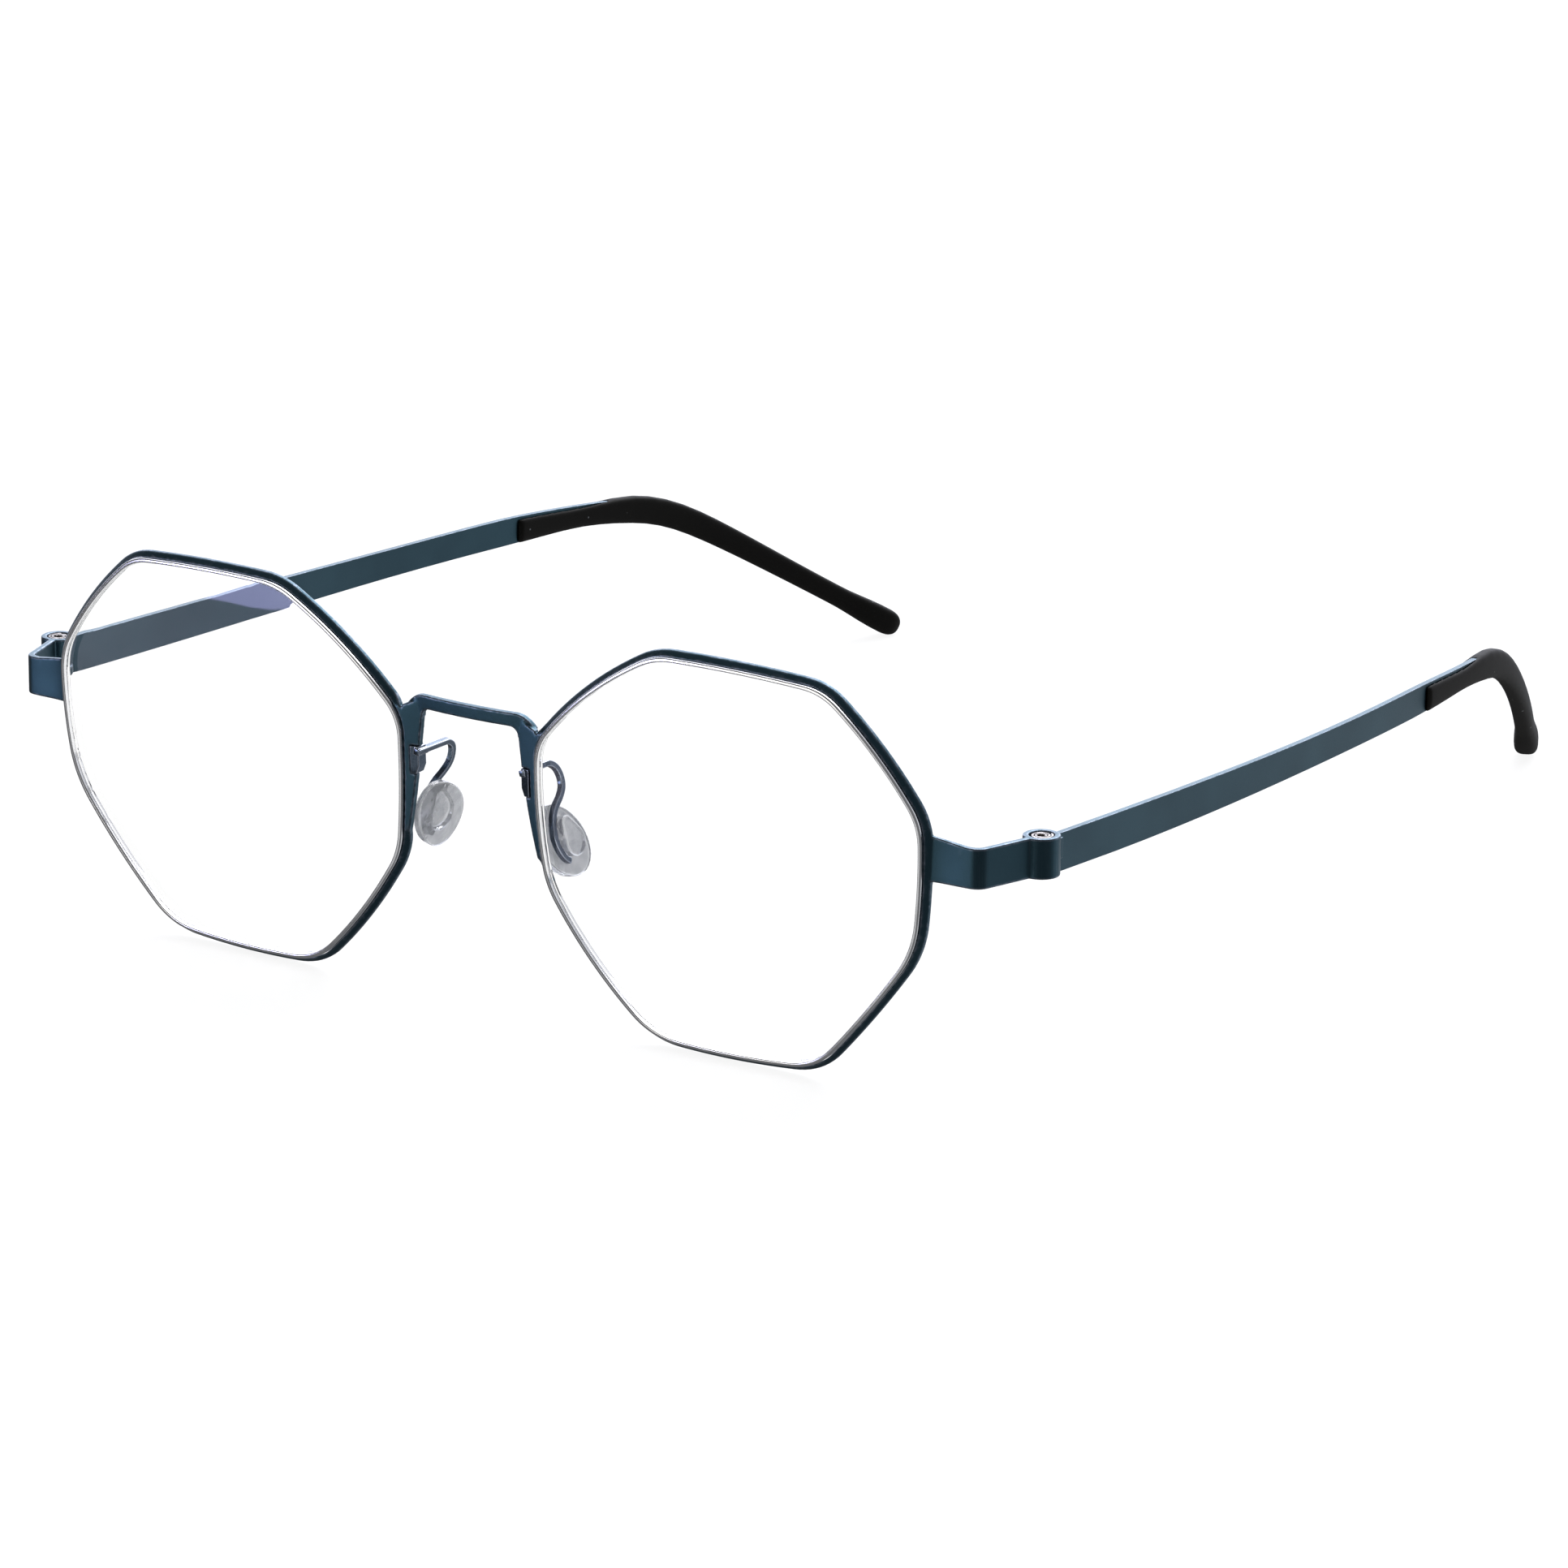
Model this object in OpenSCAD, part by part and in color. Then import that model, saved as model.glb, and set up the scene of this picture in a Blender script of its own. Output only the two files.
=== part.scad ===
// Geometric eyeglasses: octagonal sheet-metal front, inner lens rims and screwless folding temples.
// +X is the side nearer the viewer's right, +Y runs back to the ears, and the table is z = 0.

/* [Rim outline] */
// Distance of each lens centre from the middle of the frame
lens_x = 32.4; // [31:0.1:35]
// Top corner on the temple side, out and up from the lens centre
corner_top_out = [13.2, 21.7]; // [0:0.1:30]
// Top corner on the nose side
corner_top_in = [-7.8, 22.3]; // [-30:0.1:30]
// Upper corner of the nose side
corner_nose_up = [-24.2, 9.4]; // [-30:0.1:30]
// Lower corner of the nose side
corner_nose_low = [-23.4, -6.8]; // [-30:0.1:30]
// Bottom corner on the nose side
corner_bottom_in = [-10.3, -22.4]; // [-30:0.1:30]
// Bottom corner on the temple side
corner_bottom_out = [10.9, -22.1]; // [-30:0.1:30]
// Lower corner of the temple side
corner_out_low = [23.8, -6.5]; // [-30:0.1:30]
// Upper corner of the temple side
corner_out_up = [25.0, 8.3]; // [-30:0.1:30]
// How far the nearly straight sides bulge outwards at their middles
side_bow = 0.4; // [0.1:0.05:1.0]
// How far the upper nose side bulges, which is the roundest
nose_side_bow = 1.1; // [0.1:0.05:1.6]
// How far the lower nose side and the upper temple side bulge
round_side_bow = 0.825; // [0.1:0.025:1.6]
// Length of the rounding at the upper corners, measured along each side
upper_round = 2.2; // [1:0.1:4]
// Length of the rounding at the lower corners
lower_round = 3.2; // [1:0.1:4.5]

/* [Front] */
// Radius of the dish that both lenses and their rims follow
dish_radius = 165; // [120:1:260]
// Tilt of the front that brings its bottom nearer to the face
front_tilt = 4.4; // [0:0.1:9]
// Turn of each lens that brings its temple side nearer to the face
lens_turn = 1.6; // [0:0.1:6]
// Thickness of the sheet that the front is cut from
sheet_t = 0.75; // [0.5:0.05:1.0]
// Width of the sheet that shows round each inner rim
sheet_w = 0.6; // [0.4:0.05:0.9]
// Width of the metal between the nose edge's top and the rim
nose_flange_w = 1.9; // [1.2:0.1:2.6]
// Distance below the lens centre where that metal has tapered away
nose_flange_low = 7.4; // [4:0.1:9]
// Distance inwards from the lower nose corner at which the nose edge ends
nose_edge_inset = 0.4; // [0.2:0.05:0.6]
// How far the nose edge is hollowed at its middle
nose_edge_hollow = 0.5; // [0:0.05:1]
// How far the metal laps over the rim's band, so that both are one sheet
flange_lap = 2; // [1.5:0.1:2.5]

/* [Bridge] */
// Height of the bridge's upper edge above the lens centres
bridge_top = 11.9; // [11.5:0.1:12.6]
// Height of the bridge band from top to bottom
bridge_h = 1.55; // [1.2:0.05:2.2]
// Radius of the bridge in plan
bridge_radius = 60; // [45:1:90]
// How far the middle of the bridge lies behind the deepest front of the dish
bridge_set_back = 1.25; // [0.9:0.05:1.6]
// Radius of the inner corner under each end of the bridge
bridge_corner_r = 1.0; // [0.3:0.1:1.4]
// Place of the notch between bridge and rim, in and up from the upper nose corner
bridge_notch = [0.25, 1.05]; // [0:0.05:1.5]
// Length of the shoulder that rises from the notch to the bridge's upper edge
bridge_shoulder = 1.1; // [0.6:0.05:1.6]

/* [Inner rims and lenses] */
// Width of the inner rim seen from the front
rim_w = 0.5; // [0.5:0.02:0.9]
// How far the inner rim stands in front of the sheet
rim_proud = 0.6; // [0.3:0.05:0.9]
// How far the inner rim reaches behind the sheet's front
rim_back = 0.8; // [0.7:0.05:1.2]
// Size of the edge breaks on the inner rim
rim_break = 0.12; // [0.08:0.02:0.2]
// Depth of the groove that holds the lens
groove_d = 0.24; // [0.2:0.02:0.36]
// Width of the groove
groove_w = 0.4; // [0.3:0.05:0.5]
// How far the groove's middle lies behind the lens's front
groove_back = 0.44; // [0.36:0.02:0.6]
// Gap all round between pieces that are fitted together
fit_gap = 0.04; // [0.02:0.01:0.08]
// How far the lens's front lies behind the sheet's front
lens_depth = 0.2; // [0.1:0.05:0.4]
// Thickness of the lens
lens_t = 1.2; // [1.0:0.1:2.0]

/* [End pieces and hinge barrels] */
// Height of the end piece's middle above the lens centres
end_up = 4.25; // [3:0.05:5]
// Height of the end piece where it folds back
end_h = 4.4; // [3.8:0.1:5.2]
// Height of the end piece where it leaves the rim
end_root_h = 4.95; // [4.8:0.05:5.8]
// Distance from the rim's edge to the fold's outer face
end_reach = 5.6; // [4.5:0.1:7]
// Angle at which the end piece's front runs back from the rim
end_sweep = 11; // [4:0.5:16]
// Angle at which the folded strip opens outwards on its way to the barrel
end_flare = 17; // [8:0.5:20]
// Outer radius of the fold
fold_r = 1.75; // [1.3:0.05:2.2]
// Distance from the fold back to the barrel's axis
barrel_back = 8.4; // [6.5:0.1:10]
// How far the barrel's axis lies outside the straight line of the folded strip
barrel_out = 0.14; // [0:0.02:0.3]
// Share of the reach over which the end piece narrows to its height at the fold
root_taper = 0.7; // [0.4:0.05:0.9]
// Outer diameter of the barrel
barrel_od = 4.0; // [3.6:0.1:4.6]
// Wall of the barrel
barrel_wall = 0.65; // [0.5:0.05:0.8]
// Height of the ring that is left under the barrel's window
window_sill = 1.15; // [0.8:0.05:1.5]
// Height of the ring that is left over the window
window_lintel = 0.75; // [0.5:0.05:1.0]
// Running gap between the coil and the barrel
running_gap = 0.05; // [0.02:0.01:0.09]

/* [Temples] */
// Thickness of the temple strip
temple_t = 0.7; // [0.6:0.05:0.9]
// Height of the strip behind the barrel
temple_h = 4.2; // [3.6:0.1:4.5]
// Height of the strip where the sleeve starts
temple_end_h = 3.35; // [2.8:0.1:3.8]
// Height of the strip inside the sleeve, just before the ear bend
temple_slim_h = 2.6; // [2.4:0.05:3.2]
// How far the strip's inner face lies outside the barrel's axis
strip_out = 0.2; // [0:0.02:0.3]
// Length from the barrel's axis to the bend behind the ear
bend_at = 109.2; // [104:0.2:114]
// Length from the barrel's axis to the tip
temple_len = 142.6; // [136:0.2:152]
// Length over which the ear bend is made
bend_round = 7.8; // [5:0.1:10]
// Fall of the strip for each millimetre of length before the bend
temple_fall = 0.0475; // [0.03:0.0005:0.06]
// Upward curve of the strip over the span below, which takes back part of that fall
temple_rise = 1.9; // [0:0.1:2.4]
// Length over which that curve and the bow are measured
curve_span = 100; // [90:1:110]
// How far the strip opens outwards for each millimetre of length
temple_open = 0.032; // [0:0.001:0.06]
// Bow of the temple in plan over that span
temple_bow = 4.4; // [2:0.1:9]
// Turn inwards behind the ear for each millimetre of length
tip_inward = 0.46; // [0.3:0.01:0.55]
// Length over which that turn is made
inward_round = 26; // [14:0.5:34]
// Distance behind the ear bend at which that turn has its middle
inward_after = 3.6; // [0:0.2:6]
// Length from the barrel's axis to where the strip starts to narrow
taper_from = 10; // [4:0.5:20]
// Length from the barrel's axis to where it has narrowed
taper_to = 70; // [60:1:78]
// Height of the slim core at the strip's end, inside the sleeve
core_h = 1.5; // [1.2:0.1:1.8]
// Distance of the core's end from the rounded tip
core_short = 6; // [4:0.5:12]
// How far the left temple folds in, which goes first and lies nearer the lenses
fold_first = 86; // [70:1:88]
// Gap between the barrel's outside and the strip's full height
strip_gap = 0.12; // [0.06:0.02:0.2]
// Gap over and under the neck in the barrel's window
neck_play = 0.12; // [0.05:0.01:0.2]
// How far the strip's middle lies below the barrel's
strip_drop = 0.3; // [0:0.02:0.45]
// Thickness of the sheet that the hinge coil is rolled from
coil_sheet = 0.26; // [0.2:0.02:0.3]
// Gap between the coil's turns
coil_gap = 0.08; // [0.05:0.01:0.12]

/* [Temple sleeves] */
// Length from the barrel's axis to the sleeve's front end
sleeve_at = 84.3; // [76:0.2:92]
// How far the strip's upper edge stands over the sleeve at its front end
sleeve_step = 0.25; // [0.1:0.05:0.5]
// How far the sleeve reaches below the strip there
sleeve_lip = 0.1; // [0.05:0.05:0.3]
// Wall of the sleeve beside the strip
sleeve_wall = 0.6; // [0.35:0.05:0.7]
// Height of the sleeve at the ear bend
sleeve_h = 3.45; // [3.4:0.1:4.6]
// Height of the slimmest part, just before the tip
waist_h = 2.6; // [2.3:0.05:3.1]
// Width of the slimmest part
waist_w = 2.3; // [2.0:0.05:2.8]
// Height of the rounded tip
tip_h = 3.25; // [2.8:0.05:3.6]
// Width of the rounded tip
tip_w = 2.95; // [2.3:0.05:3.2]
// Length of the rounded tip
tip_len = 5.6; // [4:0.1:8]
// Height of the tip's middle above half its own height, which stands it on the table
tip_lift = 0.895; // [0.8:0.005:1]
// Length of the sleeve's bevelled front end
front_break = 0.5; // [0.3:0.05:0.8]

/* [Pad arms and nose pads] */
// Height of the clip's lower edge above the lens centres
clip_low = 2.85; // [1.5:0.05:3.5]
// Height of the clip from bottom to top
clip_h = 3.1; // [2.4:0.05:3.8]
// How far the clip reaches into the front's nose edge
clip_in = 0.75; // [0.5:0.05:1.1]
// How far the clip stands out of the nose edge
clip_out = 0.3; // [0.2:0.05:0.6]
// How far the clip stands in front of the sheet
clip_front = 0.12; // [0.05:0.01:0.2]
// How far the clip reaches behind the sheet
clip_rear = 0.5; // [0.3:0.05:0.8]
// Slanted lower corner of the clip, in and up
clip_slant = [0.35, 0.9]; // [0.2:0.05:1.2]
// Start of the arm's middle line from the clip's outer top corner: out, back and down
arm_seat = [-0.17, 0.35, -0.22]; // [-0.4:0.01:0.4]
// Thickness of the sheet that the arm is cut from
arm_t = 0.7; // [0.6:0.05:0.9]
// Width of the arm
arm_w = 0.65; // [0.55:0.05:0.8]
// How far the arm's bend lies behind the clip
arm_back = 6.5; // [5.8:0.05:7.0]
// How far the arm's lower end lies below the clip's top
arm_drop = 10.9; // [10:0.1:11.6]
// Lean of the arm and its pad, bottom away from the nose
pad_lean = 15; // [8:0.5:20]
// Length of the pad
pad_len = 10.0; // [9:0.1:11.5]
// Width of the pad
pad_w = 6.8; // [6:0.1:8]
// Turn of the pad's length from upright, top forwards
pad_turn = 47; // [35:1:55]
// Thickness of the pad's flange
pad_t = 1.5; // [1.2:0.1:2.0]
// How far in front of the arm's bend the pad's middle lies
pad_ahead = 1.2; // [0.8:0.05:1.6]
// How far above the arm's lower end the pad's middle lies
pad_above = 2.35; // [2:0.05:2.7]
// Radius of the pad's domed face on the nose side
pad_dome = 14; // [12:0.5:24]
// Thickness of the boss above the flange
boss_t = 1.3; // [1.0:0.1:1.8]
// Length of the boss
boss_len = 4.8; // [4.4:0.1:5.2]
// Width of the boss at its round end
boss_w = 3.3; // [3:0.1:3.5]
// Width of the boss at its slim end
boss_tip_w = 1.65; // [1.2:0.05:2]
// How far in front of the arm's bend the boss's round end lies
boss_ahead = 0.65; // [0.5:0.05:0.8]
// How far above the arm's lower end the boss's round end lies
boss_above = 2.1; // [2:0.05:2.2]
// Turn of the boss from the arm's upright
boss_turn = 22; // [18:1:26]
// Gap between the arm and the pad's flange
boss_side_gap = 0.05; // [0.03:0.01:0.1]

/* [Hidden] */
$fn = 64;
dish_fn = 180;
side_steps = 5;
corner_steps = 6;
path_steps = 44;
through = 20;
cut_over = 2;

CORNERS = [
    corner_top_out, corner_top_in, corner_nose_up, corner_nose_low,
    corner_bottom_in, corner_bottom_out, corner_out_low, corner_out_up
];
BOWS = [
    side_bow, nose_side_bow, side_bow, round_side_bow,
    side_bow, side_bow, side_bow, round_side_bow
];
ROUNDS = [
    upper_round, upper_round, upper_round, upper_round,
    lower_round, lower_round, lower_round, upper_round
];

// Small vector helpers
function unit(v) = v / norm(v);
function right_of(v) = [v[1], -v[0]];
function cross2(a, b) = a[0] * b[1] - a[1] * b[0];
function meet(p, d, q, e) = p + d * cross2(q - p, e) / cross2(d, e);
function wrap_at(list, i) = list[(i + len(list)) % len(list)];

// Corners of the outline moved inwards, each at the meeting of its two moved sides
function side_dir(i) = wrap_at(CORNERS, i + 1) - wrap_at(CORNERS, i);
function side_shift(i, inset) = -unit(right_of(side_dir(i))) * inset;
function inset_corner(i, inset) = meet(
    wrap_at(CORNERS, i - 1) + side_shift(i - 1, inset), side_dir(i - 1),
    wrap_at(CORNERS, i) + side_shift(i, inset), side_dir(i));

// A bowed side from corner i to the next one, at t from 0 to 1, and its direction there
function side_point(i, inset, t) =
    let (a = inset_corner(i, inset), b = inset_corner((i + 1) % 8, inset))
    a + (b - a) * t + unit(right_of(b - a)) * 4 * wrap_at(BOWS, i) * t * (1 - t);
function side_tangent(i, inset, t) =
    let (a = inset_corner(i, inset), b = inset_corner((i + 1) % 8, inset))
    (b - a) + unit(right_of(b - a)) * 4 * wrap_at(BOWS, i) * (1 - 2 * t);
function side_length(i, inset) = norm(inset_corner((i + 1) % 8, inset) - inset_corner(i, inset));
function start_t(i, inset) = wrap_at(ROUNDS, i) / side_length(i, inset);
function end_t(i, inset) = 1 - wrap_at(ROUNDS, i + 1) / side_length(i, inset);
function bezier(a, b, c, t) = a * (1 - t) * (1 - t) + b * 2 * t * (1 - t) + c * t * t;
function corner_curve(i, inset) =
    let (
        j = (i + 1) % 8,
        a = side_point(i, inset, end_t(i, inset)),
        c = side_point(j, inset, start_t(j, inset)),
        b = meet(a, side_tangent(i, inset, end_t(i, inset)), c, side_tangent(j, inset, start_t(j, inset)))
    )
    [for (k = [1:corner_steps - 1]) bezier(a, b, c, k / corner_steps)];
function side_curve(i, inset) =
    let (s = start_t(i, inset), e = end_t(i, inset))
    [for (k = [0:side_steps]) side_point(i, inset, s + (e - s) * k / side_steps)];
function outline(inset) = [for (i = [0:7]) each concat(side_curve(i, inset), corner_curve(i, inset))];

// From a point on the right lens (out, depth behind the sheet's front, up) to the part's own frame
function dish_depth(u, w) = (u * u + w * w) / (2 * dish_radius);
function lens_point(u, s, w) =
    let (
        d = s + dish_depth(u, w),
        x = u * cos(lens_turn) - d * sin(lens_turn) + lens_x,
        y = u * sin(lens_turn) + d * cos(lens_turn)
    )
    [x, y * cos(front_tilt) - w * sin(front_tilt), y * sin(front_tilt) + w * cos(front_tilt)];

// The front stands on the lowest point of its rims
lens_z = -min([for (p = outline(0)) lens_point(p[0], 0, p[1])[2]]);
rim_edge = max([for (p = outline(0)) p[0]]);
bridge_low = bridge_top - bridge_h;
rim_inset = sheet_w + rim_w;
groove_mid = lens_depth + groove_back;

// Hinge axes
end_z = lens_z + end_up;
end_low = end_z - end_h / 2;
end_top = end_z + end_h / 2;
root_at = lens_point(rim_edge, 0, end_up);
fold_at = [root_at[0] + end_reach, root_at[1] + end_reach * tan(end_sweep)];
barrel_r = barrel_od / 2;
bore_r = barrel_r - barrel_wall;
coil_r = bore_r - running_gap;
hinge_x = fold_at[0] + barrel_out + (barrel_back - barrel_r) * tan(end_flare);
hinge_y = fold_at[1] + barrel_back;
window_low = end_low + window_sill;
window_top = end_top - window_lintel;
neck_low = window_low + neck_play;
neck_top = window_top - neck_play;
neck_side = acos(min(1, (strip_out + temple_t) / bore_r));
window_margin = 4;
coil_core_r = 0.3;
coil_steps = 24;
coil_sink = 0.1;
function coil_point(turn, start, pitch) = (start + pitch * turn) * [cos(360 * turn), sin(360 * turn)];

// Path of each temple from its hinge: x outwards, t back along Y, z up
function ramp(s, r) = (sqrt(s * s + r * r) + s) / 2;
function ramp_slope(s, r) = (s / sqrt(s * s + r * r) + 1) / 2;
temple_z = end_z - strip_drop;
tip_clear = tip_h / 2 + tip_lift;
tip_centre = temple_len - tip_len / 2;
rise_k = temple_rise / pow(curve_span, 2);
bow_k = temple_bow / pow(curve_span, 2);
function straight_up(t) = temple_z - temple_fall * t + rise_k * t * t;
bend_fall = (straight_up(tip_centre) - tip_clear) / ramp(tip_centre - bend_at, bend_round);
inward_at = bend_at + inward_after;
function temple_x(t) =
    strip_out + temple_t / 2 + temple_open * t - bow_k * t * t - tip_inward * ramp(t - inward_at, inward_round);
function temple_dx(t) = temple_open - 2 * bow_k * t - tip_inward * ramp_slope(t - inward_at, inward_round);
function temple_up(t) = straight_up(t) - bend_fall * ramp(t - bend_at, bend_round);
function temple_dz(t) = 2 * rise_k * t - temple_fall - bend_fall * ramp_slope(t - bend_at, bend_round);

function smooth(a, b, t) = let (k = max(0, min(1, (t - a) / (b - a)))) k * k * (3 - 2 * k);
function mix(a, b, k) = a + (b - a) * k;

// The strip narrows towards the sleeve, stays whole under the sleeve's top and ends as a slim core
strip_start = barrel_r + strip_gap;
core_from = bend_at - bend_round;
core_to = bend_at + bend_round / 8;
core_end = temple_len - tip_len - core_short;
slim_from = sleeve_at - bend_round / 2;
slim_to = bend_at - 1.3 * bend_round;
function bare_half(t) =
    mix(mix(temple_h, temple_end_h, smooth(taper_from, taper_to, t)), temple_slim_h,
    smooth(slim_from, slim_to, t)) / 2;
function strip_half(t) = mix(bare_half(t), core_h / 2, smooth(core_from, core_to, t));
function steps(a, b, n) = [for (k = [0:n]) a + (b - a) * k / n];

function plan_edge(t, off) =
    let (n = unit([1, -temple_dx(t)]))
    [temple_x(t) + n[0] * off, t + n[1] * off];
function side_edge(t, off) =
    let (n = unit([-temple_dz(t), 1]))
    [t + n[0] * off, temple_up(t) + n[1] * off];

// Sleeve sections: half width, and the top and bottom measured from the path
sleeve_end = temple_len;
tip_from = sleeve_end - 1.45 * tip_len;
tip_to = sleeve_end - 0.45 * tip_len;
waist_from = bend_at - bend_round / 2;
waist_to = sleeve_end - 1.55 * tip_len;
ball_at = sleeve_end - tip_h / 2;
front_share = 0.66;
front_low_share = 0.93;
function tip_k(t) = smooth(tip_from, tip_to, t);
function waist_k(t) = smooth(waist_from, waist_to, t);
function round_end(t) = let (k = max(0, (t - ball_at) / (tip_h / 2))) sqrt(max(0, 1 - k * k));
function front_k(t) = mix(front_share, 1, smooth(sleeve_at, sleeve_at + front_break, t));
function sleeve_half_w(t) =
    mix(mix(temple_t / 2 + sleeve_wall, waist_w / 2, waist_k(t)), tip_w / 2, tip_k(t)) * front_k(t) * round_end(t);
bend_from = bend_at - 2 * bend_round;
bend_to = bend_at - 0.4 * bend_round;
function bend_k(t) = smooth(bend_from, bend_to, t);
function sleeve_side(t, ahead) = mix(mix(mix(bare_half(t) + ahead, sleeve_h / 2, bend_k(t)), waist_h / 2,
    waist_k(t)), tip_h / 2, tip_k(t)) * round_end(t);
function sleeve_top(t) = sleeve_side(t, -sleeve_step);
function sleeve_low(t) = sleeve_side(t, sleeve_lip) * mix(front_low_share, 1, front_k(t));
section_sides = 20;
section_power = 0.62;
function bulged(c) = sign(c) * pow(abs(c), section_power);
function squircle(a) = [bulged(cos(a)), bulged(sin(a))];
function sleeve_ring(t) =
    let (
        ahead = unit([temple_dx(t), 1, temple_dz(t)]),
        out = unit(cross(ahead, [0, 0, 1])),
        up = cross(out, ahead),
        centre = [temple_x(t), t, temple_up(t)]
    )
    [for (k = [0:section_sides - 1])
        let (q = squircle((k + 0.5) * 360 / section_sides), high = q[1] > 0 ? sleeve_top(t) : sleeve_low(t))
        centre + out * q[0] * sleeve_half_w(t) + up * q[1] * high];

// Pad arm, drawn on the sheet it is cut from: back, and down from the top of the clip
ARM_PATH = [
    [-0.5, 0], [1.6, 0], [arm_back - 2.3, 0], [arm_back - 1.35, -0.1], [arm_back - 0.4, -0.8],
    [arm_back, -1.95], [arm_back - 0.15, -3.0], [arm_back - 0.9, -3.9], [arm_back - 1.9, -4.7],
    [arm_back - 2.7, -5.75], [arm_back - 3.15, -7.2], [arm_back - 3.1, -8.4],
    [arm_back - 2.7, 1.45 - arm_drop], [arm_back - 2.1, 0.55 - arm_drop], [arm_back - 1.3, -arm_drop]
];
function curve_point(p, i, t) =
    let (
        a = p[max(0, i - 1)], b = p[i], c = p[min(len(p) - 1, i + 1)], d = p[min(len(p) - 1, i + 2)]
    )
    0.5 * (2 * b + (c - a) * t + (2 * a - 5 * b + 4 * c - d) * t * t + (3 * b - a - 3 * c + d) * t * t * t);
curve_steps = 4;
function curve(p) = [for (i = [0:len(p) - 2]) each [for (k = [0:curve_steps - 1]) curve_point(p, i, k / curve_steps)]];
function edge_of(p, off) = [for (i = [0:len(p) - 1])
    let (d = p[min(len(p) - 1, i + 1)] - p[max(0, i - 1)])
    p[i] + unit(right_of(d)) * off];
nose_edge_top = corner_nose_up[0] - nose_flange_w;
nose_edge_low = corner_nose_low[0] + nose_edge_inset;
function nose_edge(t) = bezier(
    [nose_edge_low, -nose_flange_low],
    [(nose_edge_top + nose_edge_low) / 2 - nose_edge_hollow, -nose_edge_hollow],
    [nose_edge_top, bridge_low], t);
clip_mid = clip_low + clip_h / 2;
nose_edge_steps = 10;
clip_edge = nose_edge((clip_mid + nose_flange_low) / (bridge_low + nose_flange_low))[0];
clip_at = lens_point(clip_edge, 0, clip_low + clip_h) + [0, 0, lens_z];
arm_origin = clip_at + arm_seat - [0, 0, arm_w / 2];

// The pad hangs round the end of its arm
pad_at = [arm_back - pad_ahead, pad_above - arm_drop];
boss_at = [arm_back - boss_ahead, boss_above - arm_drop];

// Every piece is drawn for the right side, and the left one is its mirror image
module on_side(side) {
    if (side > 0) children();
    else mirror([1, 0, 0]) children();
}

module on_front() {
    translate([0, 0, lens_z]) rotate([front_tilt, 0, 0]) children();
}

module at_lens() {
    on_front() translate([lens_x, 0, 0]) rotate([0, 0, lens_turn]) children();
}

// A shape in the X-Z plane pushed through from front to back
module through_y(depth = through) {
    rotate([90, 0, 0]) linear_extrude(depth * 2, center = true) children();
}

// The dished layer between two depths behind the sheet's front
module dish(front, back) {
    translate([0, dish_radius, 0]) difference() {
        sphere(dish_radius - front, $fn = dish_fn);
        sphere(dish_radius - back, $fn = dish_fn);
    }
}

module band(outer, inner, front, back) {
    intersection() {
        through_y() difference() {
            polygon(outline(outer));
            polygon(outline(inner));
        }
        dish(front, back);
    }
}

// Metal between the rim and the nose, which tapers away downwards
module nose_flange() {
    edge = [for (t = steps(0, 1, nose_edge_steps)) nose_edge(t)];
    intersection() {
        through_y() polygon(concat(edge, [
            [nose_edge_top + bridge_h / 2, bridge_top - bridge_h / 2],
            corner_nose_up + bridge_notch + [bridge_h / 4, 0],
            [corner_nose_up[0] + flange_lap, 0],
            [corner_nose_low[0] + flange_lap, -nose_flange_low]
        ]));
        dish(0, sheet_t);
    }
}

module clip_notch(gap) {
    through_y() translate([clip_edge - clip_out, clip_low - gap])
        square([clip_out + clip_in + gap, clip_h + 2 * gap]);
}

module bridge() {
    inner_x = lens_x + nose_edge_top;
    notch = corner_nose_up + bridge_notch + [lens_x, 0];
    corner = [for (a = steps(0, 90, 6)) [
        inner_x - bridge_corner_r + bridge_corner_r * sin(a),
        bridge_low - bridge_corner_r + bridge_corner_r * cos(a)]];
    shoulder = [for (t = steps(0, 1, 6)) bezier(
        notch, [notch[0] - bridge_shoulder, bridge_top], [inner_x - bridge_corner_r / 5, bridge_top], t)];
    half = concat(corner, [[notch[0] - bridge_shoulder / 2, bridge_low - bridge_corner_r]], shoulder);
    mirrored = [for (i = [len(half) - 1:-1:0]) [-half[i][0], half[i][1]]];
    on_front() intersection() {
        through_y() polygon(concat(half, mirrored));
        translate([0, bridge_set_back + bridge_radius, 0]) difference() {
            cylinder(h = 2 * bridge_top, r = bridge_radius, $fn = dish_fn);
            translate([0, 0, -cut_over])
                cylinder(h = 2 * (bridge_top + cut_over), r = bridge_radius - sheet_t, $fn = dish_fn);
        }
    }
}

// Plan of the strip that folds back from the rim to the barrel
function fold_centre() =
    let (
        d1 = [cos(end_sweep), sin(end_sweep)],
        d2 = [sin(end_flare), cos(end_flare)],
        n1 = [-d1[1], d1[0]],
        n2 = [-d2[1], d2[0]]
    )
    meet([fold_at[0], fold_at[1]] + n1 * fold_r, d1, [fold_at[0], fold_at[1]] + n2 * fold_r, d2);

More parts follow.
